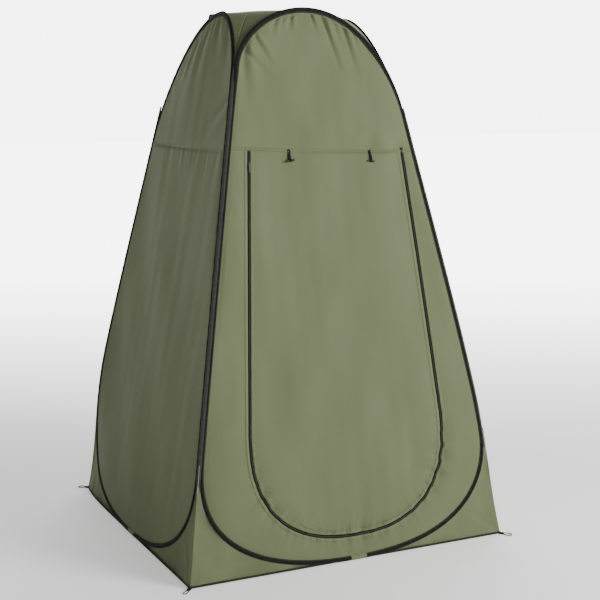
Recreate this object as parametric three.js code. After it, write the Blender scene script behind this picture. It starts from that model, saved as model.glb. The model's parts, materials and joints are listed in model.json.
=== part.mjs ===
// Pop-up privacy shower tent: four leaning sides, each a sprung wire loop in a fabric sleeve,
// with a roof, corner gussets, a zipped roll-up door, two door toggles and four peg loops.
// Millimetres, +Z up, the front faces -Y, origin at the centre of the ground square.
import * as THREE from 'three';

// ---- Overall size ----
const GROUND_HALF = 600; // half the side of the ground square
const LEAN = 0.1785; // how far a side leans in for each unit of height
const LOOP_TOP = 1888; // height of a loop's top, measured up the leaning side
const SEAM = 1411; // the cross seam, measured up the leaning side

// ---- Wire loops and sleeves ----
const WIRE_RADIUS = 1.6;
const SLEEVE_WIDTH = 14;
const SLEEVE_THICKNESS = 7.6;
const SLEEVE_WALL = 0.9;
const SLEEVE_GAP = 0.6; // between a sleeve and the fabric beside it
const SLEEVE_OFF_PLANE = 0.5; // from a side's own plane to the sleeve's inner face
const CORNER_INSET = 10; // from the corner line to the middle of a sleeve
const LOOP_BOTTOM = SLEEVE_WIDTH / 2 + SLEEVE_GAP;
const BOTTOM_RISE = 360; // height of the loop's rounded bottom
const BOTTOM_ROUNDNESS = 2.5; // exponent of the rounded bottom
const TOP_RISE = 358;
const TOP_ROUNDNESS = 2.2;
const BOTTOM_STEPS = 9;
const TOP_STEPS = 7;
const JOIN_CENTRE = 20; // where the wire's ends meet, along the loop's bottom
const JOIN_HALF = 30; // half the length of the sleeve's opening there
const JOIN_STRAIGHT = 4; // straight wire and sleeve just outside the opening
const JOIN_GAP = 0.5; // half the gap between the wire's ends, and each gap beside the patch
const FERRULE_RADIUS = 2.6;
const FERRULE_LENGTH = 40;
const FERRULE_PLAY = 0.3;

// ---- Fabric ----
const FABRIC = 1.2;
const FABRIC_OUT = 4.3; // from a side's own plane to the middle of its fabric
const SEAM_GAP = 0.6;
const GUSSET_EDGE = 4; // narrowest width of a gusset, at its two tips
const GUSSET_TRIM = 1.5; // from the corner line and the ground to a gusset
const GUSSET_TAPER = 40; // how far a gusset's upper tip runs on beside the sleeve
const ROOF_THICKNESS = 1.5;
const ROOF_EDGE = 5; // from a side's plane to the roof's edge
const ROOF_BELOW = SLEEVE_WIDTH / 2 + 2; // from the loops' tops down to the roof
const ROOF_CORNER_DROP = 215; // how far the roof's corners lie below its middle
const ROOF_TIP = 0.03; // blunting of a roof half's corner, as a share of its depth
const ROOF_SLIT = 0.5; // from the diagonal to each roof half

// ---- Door ----
const DOOR_CENTRE = 15;
const DOOR_HALF_AT_SEAM = 290;
const DOOR_FLARE = 0.08; // how much wider a half door gets for each unit down
const DOOR_BOTTOM = 87;
const DOOR_RISE = 400;
const DOOR_ROUNDNESS = 2.4;
const ZIP_WIDTH = 8;
const ZIP_THICKNESS = 2.2;
const ZIP_STEPS = 10;
const DOOR_DROP = 135; // the flat stretch under the seam, behind the toggles
const DOOR_ROLLS = 12; // strips that roll up
const ROLL_SHRINK = 5.5; // each strip is this much shorter than the one above
const FOLD_GAP = 0.9; // from a strip's end to its fold line
const ZIP_GAP = 0.5; // from the zip's tape to the fabric on each side

// ---- Small pieces on the front ----
const SLIDER_DROP = 44; // from the seam to the zip slider
const SLIDER = { top: 10, bottom: 8, height: 14, plate: 1.6, bevel: 0.6, lift: 1 };
const PULL = { width: 8, neck: 6, above: 2, below: 24, thickness: 1.4, lift: 4.4 };
const TOGGLE_PLACES = { left: -128, right: 180 };
const TOGGLE_LIFT = 0.5; // between the fabric and a toggle's strap
const STRAP = { width: 12, length: 38, thickness: 1.2, aboveSeam: 2 };
const BAR = { length: 34, radius: 4, lift: 0.4, aboveStrapEnd: 1 };

// ---- Peg loops ----
const PEG_LOOP = { length: 38, width: 22, neck: 0.3, cord: 4, height: 3, fromCorner: 8 };

const slope = Math.hypot(1, LEAN);
const edgeLean = LEAN / slope; // how far a corner line leans in, along the side
const outward = FABRIC_OUT - FABRIC / 2;

const COLOURS = {
  fabric: { color: 0x7d8462, roughness: 0.75, metalness: 0 },
  roof: { color: 0x757c5c, roughness: 0.75, metalness: 0 },
  binding: { color: 0x3a3b37, roughness: 0.85, metalness: 0 },
  zip: { color: 0x15170f, roughness: 0.6, metalness: 0 },
  wire: { color: 0x8d8f92, roughness: 0.35, metalness: 0.9 },
  plastic: { color: 0x1c1e18, roughness: 0.5, metalness: 0 },
};

const tent = new THREE.Group();

function material(name) {
  return new THREE.MeshStandardMaterial(COLOURS[name]);
}

function addMesh(group, name, geometry, finish) {
  const mesh = new THREE.Mesh(geometry, material(finish));
  mesh.name = name;
  group.add(mesh);
  return mesh;
}

// Half the width between the corner lines, at height v up a side.
function halfWidth(v) {
  return GROUND_HALF - edgeLean * v;
}

// Right half of a rounded outline, from its bottom middle to its top middle.
// The sides follow width(v); the ends are superellipse quarters.
function roundedHalf(outline) {
  const { width, bottom, bottomRise, bottomPower, bottomSteps } = outline;
  const { top, topRise, topPower, topSteps } = outline;
  const points = [];
  for (let i = 0; i <= bottomSteps; i++) {
    const a = (Math.PI / 2) * (1 - i / bottomSteps);
    const v = bottom + bottomRise * (1 - Math.sin(a) ** (2 / bottomPower));
    const across = i === 0 ? 0 : Math.cos(a) ** (2 / bottomPower);
    points.push(new THREE.Vector2(across * width(v), v));
  }
  for (let i = 0; i <= topSteps; i++) {
    const a = (Math.PI / 2) * (i / topSteps);
    const v = top - topRise * (1 - Math.sin(a) ** (2 / topPower));
    const across = i === topSteps ? 0 : Math.cos(a) ** (2 / topPower);
    points.push(new THREE.Vector2(across * width(v), v));
  }
  return points;
}

// Right half of a wire loop's outline, moved in by inset (or out, if it is negative).
function loopHalf(inset) {
  return roundedHalf({
    width: (v) => halfWidth(v) - CORNER_INSET - inset,
    bottom: LOOP_BOTTOM + inset,
    bottomRise: BOTTOM_RISE - inset,
    bottomPower: BOTTOM_ROUNDNESS,
    bottomSteps: BOTTOM_STEPS,
    top: LOOP_TOP - inset,
    topRise: TOP_RISE - inset,
    topPower: TOP_ROUNDNESS,
    topSteps: TOP_STEPS,
  });
}

// Right half of the edge of the fabric inside a loop.
function panelHalf() {
  return loopHalf(SLEEVE_WIDTH / 2 + SLEEVE_GAP);
}

function mirrored(points) {
  return points.map((p) => new THREE.Vector2(-p.x, p.y)).reverse();
}

// Half the door's width at height v, moved in by inset.
function doorWidth(v, inset) {
  return DOOR_HALF_AT_SEAM + DOOR_FLARE * (SEAM - v) - inset;
}

// Right half of the door's outline, from its bottom middle up to the seam, about x = 0.
function doorHalf(inset) {
  const points = [];
  for (let i = 0; i <= ZIP_STEPS; i++) {
    const a = (Math.PI / 2) * (1 - i / ZIP_STEPS);
    const v = DOOR_BOTTOM + inset + (DOOR_RISE - inset) * (1 - Math.sin(a) ** (2 / DOOR_ROUNDNESS));
    const across = i === 0 ? 0 : Math.cos(a) ** (2 / DOOR_ROUNDNESS);
    points.push(new THREE.Vector2(across * doorWidth(v, inset), v));
  }
  points.push(new THREE.Vector2(doorWidth(SEAM, inset), SEAM));
  return points;
}

// Where an outline half crosses height v.
function crossing(points, v) {
  for (let i = 1; i < points.length; i++) {
    const [a, b] = [points[i - 1], points[i]];
    if (a.y <= v && v <= b.y && b.y > a.y) {
      return a.x + ((b.x - a.x) * (v - a.y)) / (b.y - a.y);
    }
  }
  return 0;
}

// The part of an outline half between two heights, with a point on each.
function between(points, low, high) {
  const inside = points.filter((p) => p.y > low + 0.01 && p.y < high - 0.01);
  const ends = [low, high].map((v) => new THREE.Vector2(crossing(points, v), v));
  const first = points[0].y >= low ? [] : [ends[0]];
  const last = points[points.length - 1].y <= high - 0.01 ? [] : [ends[1]];
  return [...first, ...inside, ...last];
}

// A flat sheet with its faces along a side: points are (across, up) and z is its inner face.
function sheet(points, z = outward, thickness = FABRIC) {
  const shape = new THREE.Shape(points);
  const geometry = new THREE.ExtrudeGeometry(shape, { depth: thickness, bevelEnabled: false });
  geometry.translate(0, 0, z);
  return geometry;
}

// A whole outline from its right half: down the left, across the bottom and up the right.
function whole(half) {
  return [...mirrored(half.filter((p) => p.x > 1e-6)), ...half];
}

function symmetricSheet(half) {
  return sheet(whole(half));
}

// A curve through stations, one step each, so that bends can have more steps than straights.
class StationCurve extends THREE.Curve {
  constructor(stations) {
    super();
    this.stations = stations;
  }

  getPoint(t, target = new THREE.Vector3()) {
    const last = this.stations.length - 1;
    return target.copy(this.stations[Math.round(t * last)]);
  }

  getPointAt(u, target) {
    return this.getPoint(u, target);
  }

  getTangentAt(u, target = new THREE.Vector3()) {
    const last = this.stations.length - 1;
    const i = Math.round(u * last);
    const here = this.stations[i];
    const before = i > 0 ? here.clone().sub(this.stations[i - 1]).normalize() : new THREE.Vector3();
    const after = i < last ? this.stations[i + 1].clone().sub(here).normalize() : new THREE.Vector3();
    return target.copy(before.add(after).normalize());
  }
}

function sweep(section, stations) {
  return new THREE.ExtrudeGeometry(section, {
    steps: stations.length - 1,
    extrudePath: new StationCurve(stations),
    bevelEnabled: false,
  });
}

function rectangle(width, height, Kind = THREE.Shape) {
  const [x, y] = [width / 2, height / 2];
  const corners = [[-x, -y], [x, -y], [x, y], [-x, y]];
  return new Kind(corners.map(([a, b]) => new THREE.Vector2(a, b)));
}

function polygon(radius, sides) {
  const points = [];
  for (let i = 0; i < sides; i++) {
    const a = ((i + 0.5) * 2 * Math.PI) / sides;
    points.push(new THREE.Vector2(radius * Math.cos(a), radius * Math.sin(a)));
  }
  return new THREE.Shape(points);
}

const sleeveMiddle = SLEEVE_THICKNESS / 2 + SLEEVE_OFF_PLANE;

// Stations once round the loop, from one side of the join to the other.
function loopStations(fromJoin) {
  const half = loopHalf(0);
  const knee = JOIN_HALF + JOIN_STRAIGHT;
  const beyond = (p) => p.x > JOIN_CENTRE + knee + JOIN_STRAIGHT || p.y > LOOP_TOP / 2;
  const right = half.filter(beyond);
  const left = mirrored(right).slice(1);
  const round = [
    new THREE.Vector2(JOIN_CENTRE + fromJoin, LOOP_BOTTOM),
    new THREE.Vector2(JOIN_CENTRE + knee, LOOP_BOTTOM),
    ...right,
    ...left,
    new THREE.Vector2(JOIN_CENTRE - knee, LOOP_BOTTOM),
    new THREE.Vector2(JOIN_CENTRE - fromJoin, LOOP_BOTTOM),
  ];
  return round.map((p) => new THREE.Vector3(p.x, p.y, sleeveMiddle));
}

function sleeveSection() {
  const section = rectangle(SLEEVE_THICKNESS, SLEEVE_WIDTH);
  const wall = 2 * SLEEVE_WALL;
  section.holes.push(rectangle(SLEEVE_THICKNESS - wall, SLEEVE_WIDTH - wall, THREE.Path));
  return section;
}

function ferrule() {
  const [inner, outer, half] = [WIRE_RADIUS + FERRULE_PLAY, FERRULE_RADIUS, FERRULE_LENGTH / 2];
  const profile = [[inner, -half], [outer, -half], [outer, half], [inner, half], [inner, -half]];
  const geometry = new THREE.LatheGeometry(profile.map(([x, y]) => new THREE.Vector2(x, y)), 12);
  geometry.rotateZ(Math.PI / 2);
  geometry.translate(JOIN_CENTRE, LOOP_BOTTOM, sleeveMiddle);
  return geometry;
}

function joinPatch() {
  const reach = JOIN_HALF - JOIN_GAP;
  const ends = [JOIN_CENTRE + reach, JOIN_CENTRE - reach];
  return sweep(sleeveSection(), ends.map((x) => new THREE.Vector3(x, LOOP_BOTTOM, sleeveMiddle)));
}

// The fabric outside the loop at one ground corner, right of the middle.
function gussetPoints() {
  const edge = loopHalf(-SLEEVE_WIDTH / 2 - SLEEVE_GAP).slice(1, BOTTOM_STEPS + 1);
  const clear = edge.filter((p) => p.y > GUSSET_EDGE * 2 && p.x < halfWidth(p.y) - GUSSET_EDGE);
  const foot = crossing(edge, GUSSET_EDGE * 2);
  const corner = (v) => new THREE.Vector2(halfWidth(v) - GUSSET_TRIM, v);
  const tip = clear[clear.length - 1].y + GUSSET_TAPER;
  return [
    new THREE.Vector2(foot, GUSSET_TRIM),
    corner(GUSSET_TRIM),
    corner(tip),
    ...clear.reverse(),
    new THREE.Vector2(foot, GUSSET_EDGE * 2),
  ];
}

// A band between two outlines that both end at the seam.
function band(outer, inner) {
  return [...whole(outer), ...whole(inner).reverse()];
}

function shifted(points, x) {
  return points.map((p) => new THREE.Vector2(p.x + x, p.y));
}

function surround() {
  const top = SEAM - SEAM_GAP;
  const loop = whole(between(panelHalf(), 0, top));
  const hole = whole(between(doorHalf(-ZIP_WIDTH / 2 - ZIP_GAP), 0, top));
  return sheet([...loop, ...shifted(hole, DOOR_CENTRE).reverse()]);
}

function zipTrack() {
  const top = SEAM - SEAM_GAP;
  const outer = between(doorHalf(-ZIP_WIDTH / 2), 0, top);
  const inner = between(doorHalf(ZIP_WIDTH / 2), 0, top);
  const points = shifted(band(outer, inner), DOOR_CENTRE);
  return sheet(points, FABRIC_OUT - ZIP_THICKNESS / 2, ZIP_THICKNESS);
}

// Heights of the door's fold lines, from the top down, ending at its lower edge.
function foldLines() {
  const lowest = DOOR_BOTTOM + ZIP_WIDTH / 2 + ZIP_GAP;
  const rolled = SEAM - DOOR_DROP - lowest;
  const first = (rolled + (ROLL_SHRINK * DOOR_ROLLS * (DOOR_ROLLS - 1)) / 2) / DOOR_ROLLS;
  const lines = [SEAM - SEAM_GAP + FOLD_GAP, SEAM - DOOR_DROP];
  for (let i = 0; i < DOOR_ROLLS; i++) {
    lines.push(lines[lines.length - 1] - (first - i * ROLL_SHRINK));
  }
  return lines;
}

function doorStrip(high, low) {
  const edge = between(doorHalf(ZIP_WIDTH / 2 + ZIP_GAP), low + FOLD_GAP, high - FOLD_GAP);
  const geometry = symmetricSheet(edge);
  geometry.translate(DOOR_CENTRE, 0, 0);
  return geometry;
}

// Where the zip slider sits at rest, on the zip's left run.
function sliderPlace() {
  const v = SEAM - SLIDER_DROP;
  return new THREE.Vector3(DOOR_CENTRE - doorWidth(v, 0), v, FABRIC_OUT + ZIP_THICKNESS / 2);
}

function slider() {
  const [top, bottom, half] = [SLIDER.top / 2, SLIDER.bottom / 2, SLIDER.height / 2];
  const corners = [[-top, half], [top, half], [bottom, -half], [-bottom, -half]];
  const shape = new THREE.Shape(corners.map(([x, y]) => new THREE.Vector2(x, y)));
  const geometry = new THREE.ExtrudeGeometry(shape, {
    depth: SLIDER.plate,
    bevelThickness: SLIDER.bevel,
    bevelSize: SLIDER.bevel,
    bevelSegments: 1,
  });
  const place = sliderPlace();
  geometry.translate(place.x, place.y, place.z + SLIDER.lift);
  return geometry;
}

function pullTab() {
  const radius = PULL.width / 2;
  const shape = new THREE.Shape();
  shape.absarc(0, -PULL.below, radius, Math.PI, 2 * Math.PI, false);
  shape.lineTo(PULL.neck / 2, PULL.above);
  shape.lineTo(-PULL.neck / 2, PULL.above);
  const geometry = new THREE.ExtrudeGeometry(shape, {
    depth: PULL.thickness,
    bevelEnabled: false,
    curveSegments: 6,
  });
  const place = sliderPlace();
  geometry.translate(place.x, place.y, place.z + PULL.lift);
  return geometry;
}

const toggleOut = FABRIC_OUT + FABRIC / 2 + TOGGLE_LIFT;

function toggleStrap(x) {
  const geometry = new THREE.BoxGeometry(STRAP.width, STRAP.length, STRAP.thickness);
  const middle = SEAM + STRAP.aboveSeam - STRAP.length / 2;
  geometry.translate(x, middle, toggleOut + STRAP.thickness / 2);
  return geometry;
}

function toggleBar(x) {
  const geometry = new THREE.CapsuleGeometry(BAR.radius, BAR.length - 2 * BAR.radius, 3, 10);
  geometry.rotateZ(Math.PI / 2);
  const v = SEAM - STRAP.length + BAR.aboveStrapEnd;
  geometry.translate(x, v, toggleOut + STRAP.thickness + BAR.radius + BAR.lift);
  return geometry;
}

// Outline of a peg loop, or of its hole: a narrow neck at start, and a round end.
function pegOutline(outline, start, radius) {
  const reach = PEG_LOOP.length - PEG_LOOP.width / 2;
  outline.moveTo(start, -radius * PEG_LOOP.neck);
  outline.lineTo(reach, -radius);
  outline.absarc(reach, 0, radius, -Math.PI / 2, Math.PI / 2, false);
  outline.lineTo(start, radius * PEG_LOOP.neck);
  outline.closePath();
  return outline;
}

// A peg loop lies flat on the ground and points away from its corner, along +X here.
function pegLoop() {
  const outer = PEG_LOOP.width / 2;
  const loop = pegOutline(new THREE.Shape(), 0, outer);
  loop.holes.push(pegOutline(new THREE.Path(), 2 * PEG_LOOP.cord, outer - PEG_LOOP.cord));
  return new THREE.ExtrudeGeometry(loop, {
    depth: PEG_LOOP.height,
    bevelEnabled: false,
    curveSegments: 8,
  });
}

// A group with +X along the side, +Y up the side and +Z out of it.
function sideFrame(turn) {
  const frame = new THREE.Group();
  const basis = new THREE.Matrix4().makeBasis(
    new THREE.Vector3(1, 0, 0),
    new THREE.Vector3(0, LEAN / slope, 1 / slope),
    new THREE.Vector3(0, -1 / slope, LEAN / slope),
  );
  frame.quaternion.setFromRotationMatrix(basis);
  frame.position.set(0, -GROUND_HALF, 0);
  const side = new THREE.Group();
  side.rotation.z = turn;
  side.add(frame);
  tent.add(side);
  return frame;
}

function buildSide(name, turn, corners) {
  const frame = sideFrame(turn);
  addMesh(frame, `wire_${name}`, sweep(polygon(WIRE_RADIUS, 6), loopStations(JOIN_GAP)), 'wire');
  addMesh(frame, `ferrule_${name}`, ferrule(), 'wire');
  addMesh(frame, `sleeve_${name}`, sweep(sleeveSection(), loopStations(JOIN_HALF)), 'binding');
  addMesh(frame, `sleeve_patch_${name}`, joinPatch(), 'fabric');
  const panel = panelHalf();
  const upper = between(panel, SEAM + SEAM_GAP, LOOP_TOP);
  addMesh(frame, `upper_panel_${name}`, symmetricSheet(upper), 'fabric');
  if (name === 'front') {
    addMesh(frame, 'door_surround', surround(), 'fabric');
  } else {
    const lower = between(panel, 0, SEAM - SEAM_GAP);
    addMesh(frame, `lower_panel_${name}`, symmetricSheet(lower), 'fabric');
  }
  const gusset = gussetPoints();
  addMesh(frame, `gusset_${name}_${corners[1]}`, sheet(gusset), 'fabric');
  addMesh(frame, `gusset_${name}_${corners[0]}`, sheet(mirrored(gusset)), 'fabric');
  return frame;
}

function buildDoor(frame) {
  addMesh(frame, 'zip_track', zipTrack(), 'zip');
  const lines = foldLines();
  for (let i = 1; i < lines.length; i++) {
    addMesh(frame, `door_strip_${i}`, doorStrip(lines[i - 1], lines[i]), 'fabric');
  }
  addMesh(frame, 'zip_slider', slider(), 'plastic');
  addMesh(frame, 'zip_pull', pullTab(), 'plastic');
  for (const [side, x] of Object.entries(TOGGLE_PLACES)) {
    addMesh(frame, `toggle_strap_${side}`, toggleStrap(x), 'binding');
    addMesh(frame, `toggle_bar_${side}`, toggleBar(x), 'plastic');
  }
}

// Height of the roof at (x, y) of its unit square: level in the middle, sloping to the corners.
function roofDrop(x, y) {
  const toCorner = Math.max(Math.abs(x) + Math.abs(y) - 1, 0);
  return ROOF_CORNER_DROP * toCorner * (0.4 + 0.6 * toCorner);
}

// A closed slab over a grid: its top point at (column, row) is place(column, row).
function slab(columns, rows, thickness, place) {
  const positions = [];
  for (const down of [0, thickness]) {
    for (let row = 0; row <= rows; row++) {
      for (let column = 0; column <= columns; column++) {
        const p = place(column, row);
        positions.push(p.x, p.y, p.z - down);
      }
    }
  }
  const layer = (columns + 1) * (rows + 1);
  const top = (column, row) => row * (columns + 1) + column;
  const indices = [];
  const wall = (a, b) => indices.push(a, a + layer, b + layer, a, b + layer, b);
  for (let row = 0; row < rows; row++) {
    for (let column = 0; column < columns; column++) {
      const [a, b] = [top(column, row), top(column + 1, row)];
      const [c, d] = [top(column + 1, row + 1), top(column, row + 1)];
      indices.push(a, b, c, a, c, d);
      indices.push(a + layer, c + layer, b + layer, a + layer, d + layer, c + layer);
    }
    wall(top(columns, row), top(columns, row + 1));
    wall(top(0, row + 1), top(0, row));
  }
  for (let column = 0; column < columns; column++) {
    wall(top(column, 0), top(column + 1, 0));
    wall(top(column + 1, rows), top(column, rows));
  }
  const geometry = new THREE.BufferGeometry();
  geometry.setAttribute('position', new THREE.Float32BufferAttribute(positions, 3));
  geometry.setIndex(indices);
  geometry.computeVertexNormals();
  return geometry;
}

// Half of the roof, from the front-left to back-right diagonal to the corner beside it.
function roofHalf() {
  const [columns, rows] = [12, 8];
  const top = (LOOP_TOP - ROOF_BELOW) / slope;
  const half = halfWidth(top * slope) - ROOF_EDGE;
  return slab(columns, rows, ROOF_THICKNESS, (column, row) => {
    const along = (2 * column) / columns - 1;
    const toCorner = (row / rows) * (1 - ROOF_TIP);
    const x = (1 - toCorner) * along - toCorner;
    const y = (1 - toCorner) * along + toCorner;
    const drop = roofDrop(x, y);
    const spread = half + LEAN * drop;
    return new THREE.Vector3(x * spread - ROOF_SLIT, y * spread + ROOF_SLIT, top - drop);
  });
}

// The roof parts on the diagonal along which a folded tent's roof opens.
function buildRoof() {
  addMesh(tent, 'roof_back_left', roofHalf(), 'roof');
  addMesh(tent, 'roof_front_right', roofHalf(), 'roof').rotation.z = Math.PI;
}

function buildPegLoops() {
  for (const [name, sx, sy] of [
    ['front_left', -1, -1],
    ['front_right', 1, -1],
    ['back_right', 1, 1],
    ['back_left', -1, 1],
  ]) {
    const loop = addMesh(tent, `peg_loop_${name}`, pegLoop(), 'binding');
    loop.rotation.z = Math.atan2(sy, sx);
    const from = GROUND_HALF + PEG_LOOP.fromCorner;
    loop.position.set(sx * from, sy * from, 0);
  }
}

const front = buildSide('front', 0, ['left', 'right']);
buildSide('right', Math.PI / 2, ['front', 'back']);
buildSide('back', Math.PI, ['right', 'left']);
buildSide('left', -Math.PI / 2, ['back', 'front']);
buildDoor(front);
buildRoof();
buildPegLoops();

export default tent;
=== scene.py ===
"""Pop-up privacy shower tent: the looks, built round the CAD frame.

Each side has its own flat frame: u runs across it, v up its slope and n out of it, in metres.
Cloth is a thin closed shell over a surface n(u, v) with folds; trims are profiles swept along it.
"""
import json
import math

import bpy
import numpy as np
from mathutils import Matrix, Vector


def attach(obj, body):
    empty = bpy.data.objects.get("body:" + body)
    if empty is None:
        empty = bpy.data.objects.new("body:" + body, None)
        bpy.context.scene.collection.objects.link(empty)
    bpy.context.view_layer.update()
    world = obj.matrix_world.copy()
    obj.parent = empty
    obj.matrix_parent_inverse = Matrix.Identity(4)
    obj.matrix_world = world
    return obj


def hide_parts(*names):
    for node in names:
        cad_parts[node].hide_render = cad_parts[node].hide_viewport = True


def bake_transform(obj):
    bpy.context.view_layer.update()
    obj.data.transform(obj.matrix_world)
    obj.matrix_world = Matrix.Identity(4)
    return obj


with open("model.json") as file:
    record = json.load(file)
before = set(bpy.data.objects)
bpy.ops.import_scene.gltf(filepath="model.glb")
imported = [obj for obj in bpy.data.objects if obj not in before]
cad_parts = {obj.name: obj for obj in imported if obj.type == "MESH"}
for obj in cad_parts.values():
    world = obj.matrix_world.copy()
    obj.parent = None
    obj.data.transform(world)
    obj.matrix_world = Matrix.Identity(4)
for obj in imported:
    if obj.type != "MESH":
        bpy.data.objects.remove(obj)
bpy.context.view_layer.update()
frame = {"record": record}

RECORD = frame["record"]
JOINTS = {j["name"]: j for j in RECORD["behaviour"]["joints"]}

# ---- Sizes, from the CAD part ----
GROUND = JOINTS["frame_fold"]["pos_m"][0]
CORNER_AXIS = JOINTS["frame_fold"]["axis"]
LEAN = -CORNER_AXIS[0] / CORNER_AXIS[2]
SLOPE = math.hypot(1, LEAN)
LOOP_TOP = 1.888
SEAM = 1.411
CLOTH_OUT = 0.0043
BAND_WIDTH = 0.014
BAND_INSET = 0.0065
BAND_GAP = 0.0006
LOOP_BOTTOM = BAND_WIDTH / 2 + BAND_GAP
BOTTOM_RISE, BOTTOM_POWER = 0.385, 2.3
JOIN_CENTRE, JOIN_HALF = 0.020, 0.030
DOOR_CENTRE = 0.015
DOOR_HALF_AT_SEAM, DOOR_FLARE = 0.290, 0.08
DOOR_BOTTOM, DOOR_RISE, DOOR_POWER = 0.087, 0.400, 2.4
TOGGLES = {"left": -0.128, "right": 0.180}
SLIDER_DROP = 0.044

# ---- Cloth ----
# How far each corner bows out at a third of its height, and is pulled in at the ground.
BOW = {"front_left": 0.006, "front_right": 0.022, "back_right": 0.020, "back_left": 0.017}
TUCK = {"front_left": 0, "front_right": 0, "back_right": 0.005, "back_left": 0.022}
TOPS = {   # each loop's top: u and v where it's highest, then its curve's rise and power at -u and +u
    "front": (-0.030, 1.890, (0.19, 2.0), (0.365, 2.15)),
    "right": (0.020, 1.870, (0.40, 2.0), (0.36, 2.1)),
    "back": (0.000, 1.838, (0.35, 2.1), (0.46, 1.95)),
    "left": (0.135, 1.878, (0.47, 1.95), (0.19, 2.0)),
}
SHELL = 0.0006       # cloth thickness
CELL = 0.0075        # spacing of cloth vertices
CELL_FINE = 0.0036   # where the folds are narrow
UNDER_BAND = 0.004   # how far cloth runs on inside the band
STITCH = 0.0040
DOOR_EDGE = 0.0045   # from the zip's middle line to the edge of the door's cloth

SIDES = {
    "front": (0, ("left", "right"), ("front_left", "front_right")),
    "right": (90, ("front", "back"), ("front_right", "back_right")),
    "back": (180, ("right", "left"), ("back_right", "back_left")),
    "left": (-90, ("back", "front"), ("back_left", "front_left")),
}
ONE_PIECE = ("front", "left")   # sides that fold along one edge only, so their pieces cross them whole
FOLDING = {   # corner: the two bodies it joins, and which way is towards the second
    "back_right": ("back", "right", (1, -1)),
    "back_left": ("back", "left", (-1, -1)),
    "front_right": ("right", "front", (-1, -1)),
}


def smooth(t):
    """From 0 to 1 as t does, with a level start and end."""
    t = np.clip(t, 0, 1)
    return t * t * (3 - 2 * t)


def half_width(v):
    """From a side's middle to its corner line, at height v."""
    return GROUND - LEAN / SLOPE * v


def bow_share(v):
    """How much of its bow a corner has at height v: most at a third of the way up."""
    return smooth(v / 0.55) * smooth((LOOP_TOP - v) / 1.29)


def place(side, u, v, n):
    """World points (..., 3) of side coordinates, with the sides' bow."""
    u, v, n = np.broadcast_arrays(u, v, n)
    across = u / half_width(v)
    low = 1 - smooth(v / 0.6)
    at_minus, at_plus = (BOW[corner] * bow_share(v) - TUCK[corner] * low for corner in SIDES[side][2])
    out = (at_minus * (1 - across) + at_plus * (1 + across)) / 2
    x = u + out * across ** 5
    y = -GROUND + (v * LEAN - n) / SLOPE - out * across ** 4
    z = (v + n * LEAN) / SLOPE
    turn = math.radians(SIDES[side][0])
    cos, sin = math.cos(turn), math.sin(turn)
    return np.stack([x * cos - y * sin, x * sin + y * cos, z], -1)


# ---- Outlines, as (u, v) rows ----

def quarter(steps):
    """Angles from 90 to 0 degrees."""
    return np.linspace(math.pi / 2, 0, steps + 1)


def rounded_half(width, bottom, bottom_rise, bottom_power, top, top_rise, top_power, apex):
    """Right half of a rounded outline, from its bottom middle to its highest place, at u = apex."""
    a = quarter(48)
    low_v = bottom + bottom_rise * (1 - np.sin(a) ** (2 / bottom_power))
    low_u = np.cos(a) ** (2 / bottom_power) * width(low_v)
    high_v = top - top_rise * (1 - np.sin(a[::-1]) ** (2 / top_power))
    high_u = apex + np.cos(a[::-1]) ** (2 / top_power) * (width(high_v) - apex)
    high_u[-1] = apex
    low_u[0] = 0
    return np.column_stack([np.concatenate([low_u, high_u]), np.concatenate([low_v, high_v])])


def loop_half(side, sign, inset=0.0):
    """Half of a loop, at +u or mirrored from -u."""
    apex, top, *curves = TOPS[side]
    rise, power = curves[(sign + 1) // 2]
    return rounded_half(
        lambda v: half_width(v) - BAND_INSET - inset,
        LOOP_BOTTOM + inset, BOTTOM_RISE - inset, BOTTOM_POWER,
        top - inset, rise - inset, power, sign * apex,
    )


def door_half(inset=0.0):
    """Right half of the door's outline, up to the seam, about u = 0."""
    a = quarter(48)
    v = DOOR_BOTTOM + inset + (DOOR_RISE - inset) * (1 - np.sin(a) ** (2 / DOOR_POWER))
    u = np.cos(a) ** (2 / DOOR_POWER) * (DOOR_HALF_AT_SEAM + DOOR_FLARE * (SEAM - v) - inset)
    u[0] = 0
    last = (DOOR_HALF_AT_SEAM - inset, SEAM)
    return np.vstack([np.column_stack([u, v]), last])


def lengths(path):
    """How far along a path each of its points is."""
    return np.concatenate([[0], np.cumsum(np.hypot(*np.diff(path, axis=0).T))])


def resample(path, spacing):
    """The same path with even spacing."""
    length = lengths(path)
    count = max(int(round(length[-1] / spacing)), 2)
    at = np.linspace(0, length[-1], count + 1)
    return np.column_stack([np.interp(at, length, path[:, i]) for i in (0, 1)])


def whole(half, spacing):
    """An outline from its right half: down the left, across the bottom, up the right."""
    left = half[1:][::-1] * [-1, 1]
    return resample(np.vstack([left, half]), spacing)


def loop_path(side, spacing, inset=0.0, from_join=0.0):
    """Once round a loop, from one side of the join to the other, anticlockwise from below."""
    right, left = loop_half(side, 1, inset), loop_half(side, -1, inset)
    right = right[(right[:, 0] > JOIN_CENTRE + from_join + 0.01) | (right[:, 1] > LOOP_TOP / 2)]
    left = left[(left[:, 0] > 0.02) | (left[:, 1] > LOOP_TOP / 2)]
    left = (left * [-1, 1])[::-1][1:]
    start = (JOIN_CENTRE + from_join, LOOP_BOTTOM + inset)
    end = (JOIN_CENTRE - from_join, LOOP_BOTTOM + inset)
    return resample(np.vstack([start, right, left, end]), spacing)


def door_path(spacing, inset=0.0):
    """Down the zip's left run, round the bottom and up the right run."""
    return whole(door_half(inset), spacing) + [DOOR_CENTRE, 0]


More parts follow.
